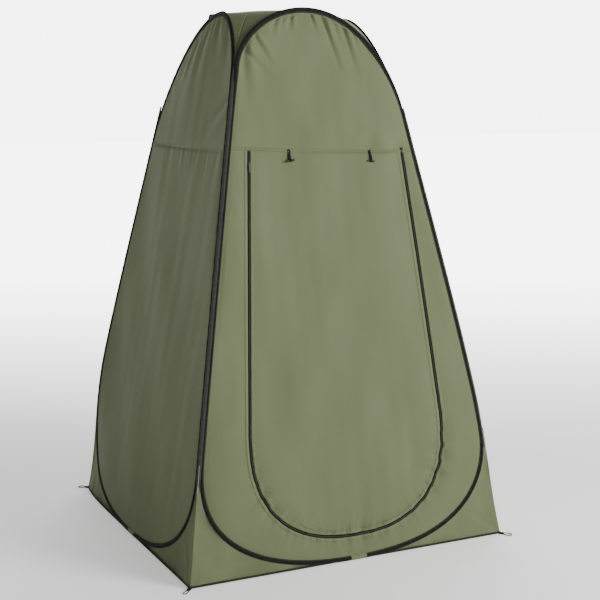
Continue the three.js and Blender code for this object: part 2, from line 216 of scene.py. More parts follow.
def nearest(u, v, path):
    """Distance to a path, and how far along it the nearest place is."""
    length = lengths(path)
    points = np.stack([u.ravel(), v.ravel()], 1)
    distance = np.empty(len(points))
    along = np.empty(len(points))
    for i in range(0, len(points), 20000):
        part = points[i:i + 20000]
        spot = ((part[:, None] - path) ** 2).sum(2).argmin(1)
        distance[i:i + 20000] = np.linalg.norm(part - path[spot], axis=1)
        along[i:i + 20000] = length[spot]
        for first in (np.maximum(spot - 1, 0), np.minimum(spot, len(path) - 2)):
            step = path[first + 1] - path[first]
            share = np.clip(((part - path[first]) * step).sum(1) / (step ** 2).sum(1), 0, 1)
            away = np.linalg.norm(part - path[first] - share[:, None] * step, axis=1)
            nearer = away < distance[i:i + 20000]
            distance[i:i + 20000][nearer] = away[nearer]
            along[i:i + 20000][nearer] = (length[first] + share * np.diff(length)[first])[nearer]
    return distance.reshape(u.shape), along.reshape(u.shape)


# ---- The cloth surface ----

def waves(u, v, across, along, seed, count=9):
    """Smooth random swell of about one unit, with wavelengths across u and along v."""
    rng = np.random.default_rng(seed)
    total = np.zeros(np.shape(u))
    for _ in range(count):
        ku, kv = rng.normal() / across, rng.normal() / along
        total = total + np.sin(2 * math.pi * (ku * u + kv * v) + rng.uniform(0, 2 * math.pi))
    return total / math.sqrt(count / 2)


def fold(u, v, start, towards, length, width, depth):
    """A crease beside a soft ridge, fading out along its length."""
    du, dv = np.subtract(towards, start) / np.hypot(*np.subtract(towards, start))
    x, y = u - start[0], v - start[1]
    t = (x * du + y * dv) / length
    aside = y * du - x * dv
    spread = width * (1 + 1.1 * np.clip(t, 0, 1))
    fade = np.clip(1 - t, 0, 1) ** 1.4 * smooth((t + 0.10) / 0.13)
    ridge = np.exp(-((aside - 1.5 * spread) / (1.5 * spread)) ** 2)
    crease = np.exp(-((aside / spread) ** 2))
    return depth * fade * (0.7 * ridge - crease)


def gathers(u, v, starts, focus, length, width, depth, seed):
    """Folds from each start towards a focus, with their sizes varied."""
    rng = np.random.default_rng(seed)
    total = np.zeros(np.shape(u))
    for start in starts:
        vary = rng.uniform(0.55, 1.35, 3)
        aim = (focus[0] + rng.normal(0, 0.06), focus[1])
        sign = rng.choice([1, 1, -0.6])
        total += fold(u, v, start, aim, length * vary[0], width * vary[1], sign * depth * vary[2])
    return total


def along_seam(count, reach, seed):
    """Places along the seam, from -reach to reach, at uneven spacing."""
    rng = np.random.default_rng(seed)
    shares = np.linspace(-1, 1, count) + rng.uniform(-0.5, 0.5, count) * 2 / count
    return np.column_stack([shares * reach, np.full(count, SEAM)])


WIRE_LINE = {side: loop_path(side, 0.005) for side in SIDES}
ZIP_LINE = door_path(0.005)
SEED = {"front": 11, "right": 23, "back": 37, "left": 53}


def seam_line(side, u):
    """The cross seam hangs a little in its middle, and slopes a little on the front."""
    sag = 0.006 if side == "front" else 0.005
    slope = -0.035 if side == "front" else 0.0
    return SEAM + slope * u - sag * (1 - np.clip(np.abs(u) / half_width(SEAM), 0, 1) ** 2)


# Folds where the cloth is gathered to a loop's top, in mm: start u and v, end u and v, width, depth.
TOP_FOLDS = {
    "front": [
        (38, 1868, 101, 1640, 6.5, 7), (114, 1846, 158, 1655, 7, 7.5), (-6, 1874, 14, 1800, 5, 5),
        (154, 1822, 166, 1750, 5, 5), (194, 1790, 240, 1680, 9.5, 7), (78, 1860, 104, 1770, 5, 4.5),
        (-78, 1868, -90, 1812, 5.5, 5.5), (-134, 1858, -158, 1800, 5.5, 5.5),
        (-106, 1862, -122, 1822, 4, 3), (-218, 1795, -156, 1680, 6.5, 5),
        (-257, 1745, -168, 1650, 8, 5), (-262, 1765, -274, 1540, 13, 7), (262, 1700, 280, 1620, 8, 4),
        (225, 1762, 246, 1706, 5, 4),
    ],
    "left": [
        (205, 1850, 248, 1690, 14, 7), (134, 1862, 143, 1700, 15, 7.5), (52, 1835, -30, 1620, 16, 8),
        (-36, 1790, -120, 1590, 15, 7), (283, 1790, 330, 1640, 11, 5), (170, 1866, 192, 1780, 9, 4.5),
        (95, 1855, 62, 1740, 10, 5), (-110, 1730, -190, 1600, 12, 5), (310, 1590, 130, 1455, 15, 7.5),
        (10, 1820, -60, 1740, 9, 4.5),
    ],
}
TOP_FOLDS["right"] = [(-a, b, -c, d, width, depth) for a, b, c, d, width, depth in TOP_FOLDS["front"]]
TOP_FOLDS["back"] = TOP_FOLDS["front"]


def cloth(side, u, v):
    """How far out the cloth lies at (u, v) of a side."""
    u, v = np.broadcast_arrays(np.asarray(u, float), np.asarray(v, float))
    seed = SEED[side]
    wire, along = nearest(u, v, WIRE_LINE[side])
    free = smooth((wire - 0.007) / 0.012)
    inside = 1 - np.exp(-wire / 0.05)
    n = (0.0028 * waves(u, v, 0.42, 0.8, seed) + 0.0005 * waves(u, v, 0.13, 1.1, seed + 1) + 0.004) * inside
    n += 0.0006 * waves(along, wire, 0.032, 0.5, seed + 2) * np.exp(-wire / 0.024)
    deepen = 0.85 if side == "left" else 1.35
    for row in TOP_FOLDS[side]:
        *ends, width, depth = (value / 1000 for value in row)
        start, end = ends[:2], ends[2:]
        n += fold(u, v, start, end, 1.15 * math.dist(start, end), width, deepen * depth)
    if side in ("left", "right"):
        n += gathers(u, v, along_seam(11, 0.33, seed + 5), (0, -3), 0.17, 0.0130, 0.0022, seed + 5)
    else:
        n += gathers(u, v, along_seam(7, 0.34, seed + 5), (0, -3), 0.06, 0.0080, 0.0008, seed + 5)
    n += gathers(u, v, WIRE_LINE[side][60::83], (0.0, 0.7), 0.12, 0.010, 0.0014, seed + 6)
    if side == "front":
        zip_near, zip_along = nearest(u, v, ZIP_LINE)
        n *= 1 - 0.97 * np.exp(-((zip_near / 0.035) ** 2))
        low = 0.12 + 0.88 * smooth((0.60 - v) / 0.25)
        pucker = waves(zip_along, zip_near, 0.032, 0.3, seed + 7) * np.exp(-zip_near / 0.024)
        n += 0.0052 * low * pucker * smooth(zip_near / 0.014)
        for x in TOGGLES.values():
            top = (x, SEAM - 0.005)
            n *= 1 - 0.9 * np.exp(-((np.hypot(u - x, v - SEAM - 0.015) / 0.035) ** 2))
            for angle in (50, 72, 90, 108, 130, 235, 300):
                reach = (x + math.cos(math.radians(angle)), top[1] + math.sin(math.radians(angle)))
                n += fold(u, v, top, reach, 0.040, 0.0030, 0.0014)
    seam = np.exp(-(((v - seam_line(side, u)) / 0.006) ** 2))
    return CLOTH_OUT + free * (n * (1 - 0.6 * seam) - 0.0012 * seam) - 0.0006 * (1 - free)


# ---- Meshes ----

def build(name, points, faces, uv, finish, inner=None, inner_faces=0):
    """A smooth-shaded mesh. The last inner_faces faces take the inner material."""
    mesh = bpy.data.meshes.new(name)
    mesh.from_pydata(np.asarray(points).reshape(-1, 3).tolist(), [], [list(f) for f in faces])
    mesh.shade_smooth()
    layer = mesh.uv_layers.new(name="UVMap")
    corner = np.empty(len(mesh.loops), np.int64)
    mesh.loops.foreach_get("vertex_index", corner)
    layer.data.foreach_set("uv", np.asarray(uv, np.float32).reshape(-1, 2)[corner].ravel())
    mesh.materials.append(finish)
    if inner is not None:
        mesh.materials.append(inner)
        index = np.zeros(len(mesh.polygons), np.int32)
        index[len(index) - inner_faces:] = 1
        mesh.polygons.foreach_set("material_index", index)
    mesh.validate()
    mesh.update()
    obj = bpy.data.objects.new(name, mesh)
    bpy.context.scene.collection.objects.link(obj)
    return obj


def bend_at(obj):
    """Bakes a piece's transform into its mesh; used for pieces where two sides fold."""
    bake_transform(obj)


def halves(side, middle, first=-1):
    """A piece's parts as (half, label, slice), cut at index middle where its side folds at both edges."""
    if side in ONE_PIECE:
        return [(0, side, slice(None))]
    labels = {-1: f"{side}_a", 1: f"{side}_b"}
    return [(first, labels[first], slice(0, middle + 1)), (-first, labels[-first], slice(middle, None))]


def add(obj, body, finish_slot, *nodes, half=0):
    """Puts a piece on its body, or bakes its transform into its mesh on a one-piece side or at an edge, and
    hides the CAD nodes it replaces. half is -1 or 1 at an edge. finish_slot is not used.
    """
    if body in ONE_PIECE:
        bend_at(obj)
    elif half:
        bend_at(obj)
    else:
        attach(obj, body)
    if nodes:
        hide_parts(*nodes)
    return obj


def split(quads):
    """Two triangles for each quad, so that both faces of a sheet bend along the same lines."""
    return np.concatenate([quads[:, [0, 1, 2]], quads[:, [0, 2, 3]]])


def grid_triangles(rows, columns):
    """The triangles of a grid of vertices, two to a cell."""
    index = np.arange(rows * columns).reshape(rows, columns)
    quads = np.stack([index[:-1, :-1], index[:-1, 1:], index[1:, 1:], index[1:, :-1]], -1)
    return split(quads.reshape(-1, 4))


def grid_rim(rows, columns):
    """The vertices round a grid, anticlockwise from its first corner."""
    index = np.arange(rows * columns).reshape(rows, columns)
    return np.concatenate([index[0, :-1], index[:-1, -1], index[-1, :0:-1], index[:0:-1, 0]])


def shell(name, outer, inner, uv, normals=None):
    """A closed thin shell between two grids of points: olive outside, coated inside."""
    rows, columns = outer.shape[:2]
    count = rows * columns
    face = grid_triangles(rows, columns)
    rim = grid_rim(rows, columns)
    after = np.roll(rim, -1)
    edge = split(np.column_stack([after, rim, rim + count, after + count]))
    faces = np.vstack([face, edge, face[:, ::-1] + count])
    points = np.concatenate([outer.reshape(-1, 3), inner.reshape(-1, 3)])
    obj = build(name, points, faces, np.tile(uv.reshape(-1, 2), (2, 1)), CLOTH, LINING, len(face))
    if normals is not None:
        flat = normals.reshape(-1, 3)
        obj.data.normals_split_custom_set_from_vertices(np.concatenate([flat, -flat]).tolist())
    return obj


def side_shell(name, side, u, v, n):
    """A thin shell whose outside is at (u, v, n) of a side."""
    return shell(name, place(side, u, v, n), place(side, u, v, n - SHELL), np.stack([u, v], -1))


def across_axis(path):
    """Unit vectors to the right of a path, at each of its points."""
    step = np.gradient(path, axis=0)
    step = step / np.hypot(step[:, 0], step[:, 1])[:, None]
    return np.column_stack([step[:, 1], -step[:, 0]])


def sweep(name, side, path, profile, finish, lift=0.0, on_cloth=True, width=1.0, height=1.0,
          right=None):
    """A profile (s to the right of the path, h out of the cloth), anticlockwise, along a path."""
    profile = np.asarray(profile, float)
    right = across_axis(path) if right is None else right
    s = profile[None, :, 0] * np.broadcast_to(width, len(path))[:, None]
    h = profile[None, :, 1] * np.broadcast_to(height, len(path))[:, None]
    u = path[:, 0, None] + s * right[:, 0, None]
    v = path[:, 1, None] + s * right[:, 1, None]
    base = cloth(side, u, v) if on_cloth else CLOTH_OUT
    rise = np.broadcast_to(lift, len(path))[:, None]
    points = place(side, u, v, base + rise + h)
    return closed_sweep(name, points, path, profile, finish)


def closed_sweep(name, points, path, profile, finish):
    """A mesh through rings of points, closed at both ends. path and profile only lay out its UV."""
    stations, count = points.shape[:2]
    index = np.arange(stations * count).reshape(stations, count)
    after = np.roll(index, -1, 1)
    sides = np.stack([index[:-1], index[1:], after[1:], after[:-1]], -1).reshape(-1, 4)
    faces = [*sides.tolist(), index[0].tolist(), index[-1][::-1].tolist()]
    uv = np.stack(np.broadcast_arrays(lengths(path)[:, None], profile[None, :, 0]), -1)
    obj = build(name, points, faces, uv, finish)
    obj.data.set_sharp_from_angle(angle=math.radians(58))
    return obj


def rounded_strip(width, thickness):
    """A strip's profile with its long edges rounded, resting on h = 0."""
    radius = thickness / 2
    half = width / 2 - radius
    a = np.linspace(-math.pi / 2, math.pi / 2, 5)
    right = np.column_stack([half + radius * np.cos(a), radius + radius * np.sin(a)])
    left = np.column_stack([-half - radius * np.cos(a), radius - radius * np.sin(a)])
    middle = np.linspace(-half, half, 5)[1:-1]
    low = np.column_stack([middle, np.zeros(3)])
    high = np.column_stack([middle[::-1], np.full(3, thickness)])
    return np.vstack([low, right, high, left])


def circle(radius, sides=10):
    """A round profile, anticlockwise."""
    a = np.arange(sides) * 2 * math.pi / sides
    return np.column_stack([radius * np.cos(a), radius * np.sin(a)])


def tube(name, points, radius, finish, sides=10):
    """A round cord or wire along world points, with its ends closed."""
    points = np.asarray(points, float)
    step = np.gradient(points, axis=0)
    step /= np.linalg.norm(step, axis=1)[:, None]
    nearly_up = (0.001, 0.001, 1.001)
    side_axis = np.cross(step, nearly_up)
    side_axis /= np.linalg.norm(side_axis, axis=1)[:, None]
    other = np.cross(side_axis, step)
    ring = circle(radius, sides)
    rings = points[:, None] + ring[None, :, :1] * side_axis[:, None] + ring[None, :, 1:] * other[:, None]
    path = np.column_stack([np.arange(len(points)) * 0.002, np.zeros(len(points))])
    return closed_sweep(name, rings, path, ring, finish)


def mirrored(half):
    """A list of places, and after it the same ones backwards with their x negated."""
    return [*half, *((-x, y) for x, y in half[::-1])]


def lathe(name, half, finish, move):
    """A solid turned round its own X axis, from rows of (x, radius) in mm that are mirrored at x = 0."""
    sides = 28
    a = -np.arange(sides) * 2 * math.pi / sides
    x, r = np.array(mirrored(half)).T / 1000
    points = np.stack(np.broadcast_arrays(x[:, None], r[:, None] * np.cos(a), r[:, None] * np.sin(a)), -1)
    path = np.column_stack([x - x[0], np.zeros(len(x))])
    return closed_sweep(name, move(points), path, circle(0.004, sides), finish)


def local(side, u, v, n, tilt=0.0):
    """A function that places points measured from (u, v, n), turned by tilt in the side's plane."""
    cos, sin = math.cos(tilt), math.sin(tilt)

    def move(points):
        x, y, z = np.moveaxis(np.asarray(points, float), -1, 0)
        return place(side, u + x * cos - y * sin, v + x * sin + y * cos, n + z)
    return move


def plate(name, outline, thickness, bevel, finish, move):
    """A flat plate with its edges bevelled; outline is anticlockwise."""
    outline = np.asarray(outline, float)
    middle = outline.mean(0)
    reach = np.abs(outline - middle).max()
    small = middle + (outline - middle) * (1 - bevel / reach)
    layers = [(small, 0), (outline, bevel), (outline, thickness - bevel), (small, thickness)]
    points = np.stack([np.column_stack([p, np.full(len(p), z)]) for p, z in layers])
    count = len(outline)
    index = np.arange(4 * count).reshape(4, count)
    after = np.roll(index, -1, 1)
    sides = np.stack([index[:-1], after[:-1], after[1:], index[1:]], -1).reshape(-1, 4)
    faces = [*sides.tolist(), index[0][::-1].tolist(), index[-1].tolist()]
    obj = build(name, move(points), faces, points[..., :2].reshape(-1, 2), finish)
    obj.data.set_sharp_from_angle(angle=math.radians(35))
    return obj


# ---- Materials ----

def set_inputs(node, values):
    for name, value in values.items():
        node.inputs[name].default_value = value


class Finish:
    """A procedural material, with its texture laid out in metres by UV."""

    def __init__(self, name, roughness, metallic=0.0, sheen=0.0, sheen_tint=None):
        self.material = bpy.data.materials.new(name)
        self.material.use_nodes = True
        self.nodes = self.material.node_tree.nodes
        self.links = self.material.node_tree.links
        self.shader = self.nodes["Principled BSDF"]
        set_inputs(self.shader, {"Metallic": metallic, "Roughness": roughness})
        set_inputs(self.shader, {"Sheen Weight": sheen, "Sheen Roughness": 0.4})
        if sheen_tint:
            set_inputs(self.shader, {"Sheen Tint": (*sheen_tint, 1)})
        self.uv = self.add("ShaderNodeTexCoord").outputs["UV"]

    def add(self, kind, **values):
        node = self.nodes.new(kind)
        for key, value in values.items():
            setattr(node, key, value)
        return node

    def math(self, operation, a, b=None):
        node = self.add("ShaderNodeMath", operation=operation)
        for socket, value in zip(node.inputs, (a, b)):
            if value is None:
                continue
            if isinstance(value, (int, float)):
                socket.default_value = value
            else:
                self.links.new(value, socket)
        return node.outputs[0]

    def scaled_uv(self, x, y):
        mapping = self.add("ShaderNodeMapping")
        mapping.inputs["Scale"].default_value = (x, y, 1)
        self.links.new(self.uv, mapping.inputs["Vector"])
        return mapping.outputs["Vector"]

    def noise(self, x, y, detail=3.0, rough=0.55):
        """Noise from 0 to 1, with x and y features to the metre."""
        node = self.add("ShaderNodeTexNoise")
        set_inputs(node, {"Scale": 1, "Detail": detail, "Roughness": rough})
        self.links.new(self.scaled_uv(x, y), node.inputs["Vector"])
        return node.outputs["Fac"]

    def threads(self, x_pitch, y_pitch, shear=0.0):
        """Over-and-under threads, from -1 to 1. Shear turns them into a twill."""
        split = self.add("ShaderNodeSeparateXYZ")
        self.links.new(self.uv, split.inputs[0])
        x = self.math("MULTIPLY", split.outputs[0], 2 * math.pi / x_pitch)
        y = self.math("MULTIPLY", split.outputs[1], 2 * math.pi / y_pitch)
        y = self.math("ADD", y, self.math("MULTIPLY", x, shear))
        return self.math("MULTIPLY", self.math("SINE", x), self.math("SINE", y))

    def ramp(self, factor, dark, light, low=0.3, high=0.7):
        node = self.add("ShaderNodeValToRGB")
        for stop, position, shade in zip(node.color_ramp.elements, (low, high), (dark, light)):
            stop.position = position
            stop.color = (*shade, 1)
        self.links.new(factor, node.inputs["Fac"])
        return node.outputs["Color"]

    def mix(self, factor, a, b, blend="MIX"):
        node = self.add("ShaderNodeMix", data_type="RGBA", blend_type=blend)
        for name, value in (("Factor", factor), ("A", a), ("B", b)):
            if isinstance(value, (int, float)):
                node.inputs[name].default_value = value
            elif isinstance(value, tuple):
                node.inputs[name].default_value = (*value, 1)
            else:
                self.links.new(value, node.inputs[name])
        return node.outputs["Result"]

    def colour(self, socket):
        self.links.new(socket, self.shader.inputs["Base Color"])

    def roughness(self, factor, low, high):
        node = self.add("ShaderNodeMapRange")
        self.links.new(factor, node.inputs["Value"])
        set_inputs(node, {"To Min": low, "To Max": high})
        self.links.new(node.outputs["Result"], self.shader.inputs["Roughness"])

    def bump(self, *layers):
        """Bumps from (height socket, depth in metres) layers."""
        normal = None
        for height, depth in layers:
            node = self.add("ShaderNodeBump")
            node.inputs["Distance"].default_value = depth
            self.links.new(height, node.inputs["Height"])
            if normal is not None:
                self.links.new(normal, node.inputs["Normal"])
            normal = node.outputs["Normal"]
        self.links.new(normal, self.shader.inputs["Normal"])


def woven(name, dark, light, pitch=0.0011, sheen=0.02, roughness=(0.66, 0.8)):
    """Plain-weave polyester: fine threads, faint slubs down the cloth and soft patches."""
    finish = Finish(name, 0.6, sheen=sheen, sheen_tint=(0.9, 0.95, 0.8))
    set_inputs(finish.shader, {"Specular IOR Level": 0.10})
    slubs = finish.noise(220, 9, 4)
    picks = finish.noise(14, 260, 3)
    patches = finish.noise(5, 2.2, 3)
    weave = finish.threads(pitch, pitch)
    base = finish.ramp(patches, dark, light)
    streak = finish.ramp(slubs, (0.975, 0.975, 0.97), (1.02, 1.02, 1.015), 0.25, 0.75)
    base = finish.mix(1.0, base, streak, "MULTIPLY")
    cross = finish.ramp(picks, (0.985, 0.985, 0.985), (1.012, 1.012, 1.012), 0.25, 0.75)
    finish.colour(finish.mix(1.0, base, cross, "MULTIPLY"))
    finish.roughness(slubs, *roughness)
    finish.bump((weave, 0.00005), (slubs, 0.00010), (finish.noise(60, 38, 2), 0.0004))
    return finish.material


def webbing(name, dark, light, pitch=0.0016):
    """Ribbed binding tape, worn lighter in places."""
    finish = Finish(name, 0.8, sheen=0.02, sheen_tint=(0.8, 0.8, 0.8))
    set_inputs(finish.shader, {"Specular IOR Level": 0.08})
    twill = finish.threads(pitch, pitch * 1.5, shear=0.5)
    wear = finish.noise(90, 160, 4, 0.65)
    base = finish.ramp(wear, dark, light, 0.35, 0.75)
    finish.colour(finish.mix(finish.math("MULTIPLY", twill, 0.25), base, light))
    finish.roughness(wear, 0.7, 0.9)
    finish.bump((twill, 0.00025), (finish.noise(320, 700, 3), 0.0003))
    return finish.material


def moulded(name, dark, light, metallic=0.0, roughness=(0.35, 0.5), coat=0.0):
    """Moulded plastic or painted metal, with a fine grain and rubbed patches."""
    finish = Finish(name, 0.4, metallic=metallic)
    set_inputs(finish.shader, {"Coat Weight": coat})
    grain = finish.noise(900, 900, 3)
    rubbed = finish.noise(120, 120, 3)
    finish.colour(finish.ramp(rubbed, dark, light, 0.4, 0.8))
    finish.roughness(rubbed, *roughness)
    finish.bump((grain, 0.00008))
    return finish.material


CLOTH = woven("tent_cloth", (0.116, 0.135, 0.070), (0.133, 0.154, 0.083))
FACING = woven("facing_cloth", (0.125, 0.142, 0.072), (0.148, 0.166, 0.088), pitch=0.0009)
LINING = woven("coated_lining", (0.30, 0.31, 0.28), (0.36, 0.37, 0.34), sheen=0.0, roughness=(0.32, 0.45))
BINDING = webbing("binding_tape", (0.006, 0.006, 0.006), (0.022, 0.022, 0.021))
HEM = webbing("hem_tape", (0.020, 0.022, 0.013), (0.038, 0.041, 0.025))
ZIP_TAPE = webbing("zip_tape", (0.003, 0.004, 0.002), (0.008, 0.009, 0.006), pitch=0.0009)
ZIP_COIL = moulded("zip_coil", (0.002, 0.003, 0.002), (0.006, 0.007, 0.005), roughness=(0.4, 0.55))
PAINTED = moulded("painted_metal", (0.004, 0.005, 0.004), (0.016, 0.016, 0.015), 0.2, (0.4, 0.55))
PLASTIC = moulded("black_plastic", (0.004, 0.005, 0.003), (0.011, 0.012, 0.009), roughness=(0.4, 0.55))
STEEL = moulded("spring_steel", (0.36, 0.37, 0.38), (0.55, 0.56, 0.57), 1.0, (0.25, 0.4))
CORNER = webbing("corner_tape", (0.048, 0.050, 0.044), (0.080, 0.082, 0.076))
THREAD = woven("thread", (0.085, 0.100, 0.046), (0.105, 0.122, 0.058), pitch=0.0006)
CORD = webbing("elastic_cord", (0.015, 0.015, 0.014), (0.07, 0.07, 0.066), pitch=0.0011)


# ---- Panels ----

def panel_rows(low, high, spacing):
    """Heights for a panel's rows, closer together where its outline curves in to a tip."""
    near_tip = min(0.06, (high - low) / 4)
    count = int((high - low) / spacing)
    heights = np.linspace(low, high, count + 1)
    tip = np.linspace(0, 1, 10) ** 2.2 * near_tip
    if low < 0.2:
        heights = np.concatenate([low + 0.0004 + tip, heights[heights > low + near_tip + 0.002]])
    if high > 1.7:
        heights = np.concatenate([heights[heights < high - near_tip - 0.002], high - 0.0004 - tip[::-1]])
    return heights


def at_seam(side, u, v):
    """Heights with the rows near the seam moved, so that the last one follows it."""
    return v + (seam_line(side, u) - SEAM) * (1 - smooth(np.abs(v - SEAM) / 0.12))


def panel_grid(minus, plus, rows, spacing):
    """Grid of (u, v) between two halves of an outline, with even columns."""
    low, high = (np.interp(rows, half[:, 1], half[:, 0])[:, None] for half in (minus, plus))
    columns = 2 * int(high.max() / spacing)
    share = np.linspace(0, 1, columns + 1)
    u = -low * (1 - share) + high * share
    return u, np.broadcast_to(rows[:, None], u.shape)


def grid_area(u, v):
    """Flat area of a grid of (u, v)."""
    a, b, c, d = u[:-1, :-1], u[:-1, 1:], u[1:, 1:], u[1:, :-1]
    e, f, g, h = v[:-1, :-1], v[:-1, 1:], v[1:, 1:], v[1:, :-1]
    return float(0.5 * np.abs((a - c) * (f - h) - (b - d) * (e - g)).sum())


def declare_sheet(obj, u, v, *rests_on):
    """Works out how big a cloth is before it's hung, from its grid of (u, v); nothing is done with the
    result.
    """
    area = grid_area(u, v)
    size = (float(u.max() - u.min()), float(v.max() - v.min()))
    if area < 0.3 * size[0] * size[1]:   # a crescent: its mean width and its sewn edge
        edge = float(np.hypot(np.diff(u[-1]), np.diff(v[-1])).sum())
        size = (area / edge, edge)
    area = min(area, size[0] * size[1])


def surface_normals(points):
    """Unit normals of a grid of points, up its rows and across its columns."""
    across, up = np.gradient(points, axis=1), np.gradient(points, axis=0)
    normal = np.cross(across, up)
    return normal / np.maximum(np.linalg.norm(normal, axis=-1, keepdims=True), 1e-12)


def cloth_layers(side, u, v):
    """The outside, inside, UV and normals of a grid of cloth, for shell."""
    n = cloth(side, u, v)
    outer = place(side, u, v, n)
    return outer, place(side, u, v, n - SHELL), np.stack([u, v], -1), surface_normals(outer)


def panel(side, part, low, high, spacing):
    """One cloth across a side. On the sides that fold at both edges it is two, seamed in the middle."""
    minus, plus = (loop_half(side, sign, BAND_WIDTH / 2 - UNDER_BAND) for sign in (-1, 1))
    low, high = max(low, plus[0, 1]), min(high, plus[-1, 1])
    u, v = panel_grid(minus, plus, panel_rows(low, high, spacing), spacing)
    v = at_seam(side, u, v)
    layers = cloth_layers(side, u, v)
    for half, label, columns in halves(side, u.shape[1] // 2):
        here = (slice(None), columns)
        obj = shell(f"{part}_cloth_{label}", *(layer[here] for layer in layers))
        add(obj, side, "tent_fabric", *([f"{part}_panel_{side}"] if half <= 0 else []), half=half)
        declare_sheet(obj, u[here], v[here], f"sleeve_{side}")


def surround():
    """The front below its seam, outside the zip."""
    loop = loop_half("front", 1, BAND_WIDTH / 2 - UNDER_BAND)
    reach = np.interp(SEAM, loop[:, 1], loop[:, 0])
    loop = np.vstack([loop[loop[:, 1] < SEAM], (reach, SEAM)])
    outer = whole(loop, 0.007)
    inner = door_path(0.007, -0.003)
    share = np.linspace(0, 1, len(outer))
    inner = np.column_stack([
        np.interp(share, np.linspace(0, 1, len(inner)), inner[:, i]) for i in (0, 1)])
    t = 1 - (1 - np.linspace(0, 1, 26)) ** 1.3
    u = outer[None, :, 0] + t[:, None] * (inner - outer)[None, :, 0]
    v = outer[None, :, 1] + t[:, None] * (inner - outer)[None, :, 1]
    v = at_seam("front", u, v)
    obj = side_shell("front_surround", "front", u, v, cloth("front", u, v))
    add(obj, "front", "tent_fabric", "door_surround")
    declare_sheet(obj, u, v, "sleeve_front")


def gusset(side, which, sign):
    """The cloth outside a loop at one ground corner: sign is 1 at +u and -1 at -u."""
    arc = loop_half(side, 1, -BAND_WIDTH / 2 + UNDER_BAND)
    arc = arc[(arc[:, 1] < 0.46) & (arc[:, 0] > 0.06)]
    arc = resample(arc, 0.009)
    level = 0.75 * CLOTH_OUT
    foot = np.array([arc[0, 0], 0.002])
    corner = np.array([half_width(0) + level, 0.002])
    tip = np.array([half_width(arc[-1, 1]) + level, arc[-1, 1] + 0.004])
    turn = 0.46   # the share of the outer edge that lies along the ground
    t = np.linspace(0, 1, len(arc))[:, None]
    along_ground = foot + (corner - foot) * (t / turn)
    up_corner = corner + (tip - corner) * ((t - turn) / (1 - turn))
    outer = np.where(t < turn, along_ground, up_corner)
    rise = np.linspace(0, 1, 22)[:, None, None]
    grid = outer[None] + rise * (arc - outer)[None]
    u, v = grid[..., 0], grid[..., 1]
    seed = SEED[side] + 40 + sign
    open_cloth = 4 * rise[..., 0] * (1 - rise[..., 0])
    n = level + 0.0018 * open_cloth * waves(u, v, 0.16, 0.2, seed)
    start = (corner[0] - 0.01, 0.01)
    rng = np.random.default_rng(seed)
    for _ in range(5):
        angle = math.radians(rng.uniform(100, 172))
        aim = (start[0] + math.cos(angle), start[1] + math.sin(angle))
        n += fold(u, v, start, aim, rng.uniform(0.12, 0.3), 0.008, 0.0022) * open_cloth
    n -= 0.004 * open_cloth
    if sign < 0:
        u, v, n = -u[:, ::-1], v[:, ::-1], n[:, ::-1]
    obj = side_shell(f"gusset_cloth_{side}_{which}", side, u, v, n)
    add(obj, side, "tent_fabric", f"gusset_{side}_{which}", half=sign)
    declare_sheet(obj, u, v, f"sleeve_{side}")
    path = np.array([foot, corner]) * [sign, 1]
    path = resample(path if sign > 0 else path[::-1], 0.02) + [0, 0.0034]
    hem = sweep(f"hem_{side}_{which}", side, path, rounded_strip(0.0075, 0.0030), HEM,
                lift=-0.0026, on_cloth=False)
    add(hem, side, "tent_fabric", half=sign)


# ---- Trims along the loops and seams ----

def stitches(name, side, path, body, on_cloth=True, lift=0.0, half=0):
    """A row of thread that comes up and goes down through the cloth."""
    path = resample(path, STITCH / 3)
    phase = np.arange(len(path)) * 2 * math.pi / 3
    wave = lift + 0.00028 * np.cos(phase)
    thread = sweep(name, side, path, circle(0.00036, 5), THREAD, lift=wave, on_cloth=on_cloth)
    return add(thread, body, "binding_tape", half=half)


def band_profile():
    """Folded tape over the wire: a round bead near its outer edge and flat flanges."""
    half = BAND_WIDTH / 2
    s = np.linspace(half, -half, 15)
    bead = 0.0026 * np.exp(-(((s - 0.0012) / 0.0031) ** 2))
    h = (0.0010 + bead) * (1 - np.abs(s / half) ** 9 * 0.6)
    top = np.column_stack([s, h])
    return np.vstack([top, top[::-1] * [1, -1]])


def band_width(v):
    """How wide the tape is at height v: wider at the top and low down, where it turns to the camera."""
    return 0.72 + 0.62 * smooth((v - 1.50) / 0.3) + 0.40 * smooth((0.44 - v) / 0.25)


def loop_halves(side, path):
    """The parts of a path round a loop, which starts up its +u half."""
    return halves(side, int(path[:, 1].argmax()), first=1)


def band(side):
    """The tape round a side's loop."""
    path = loop_path(side, 0.009, 0.0015, JOIN_HALF)
    wide = band_width(path[:, 1])
    pucker = 1 + 0.10 * waves(np.arange(len(path)) * 0.009, 0, 0.05, 1, SEED[side] + 60)
    row = path - across_axis(path) * (wide * 0.0048)[:, None]
    for half, label, part in loop_halves(side, path):
        tape = sweep(f"band_{label}", side, path[part], band_profile(), BINDING,
                     on_cloth=False, width=wide[part], height=pucker[part])
        add(tape, side, "binding_tape", *([f"sleeve_{side}"] if half <= 0 else []), half=half)
        stitches(f"band_stitches_{label}", side, row[part], side, on_cloth=False, lift=0.0013, half=half)
    ends = np.array([[JOIN_CENTRE + reach, LOOP_BOTTOM + 0.0015] for reach in (-JOIN_HALF, JOIN_HALF)])
    patch = sweep(f"join_patch_{side}", side, resample(ends, 0.006), band_profile(), FACING,
                  on_cloth=False, width=1.15, height=0.9)
    add(patch, side, "tent_fabric", f"sleeve_patch_{side}")


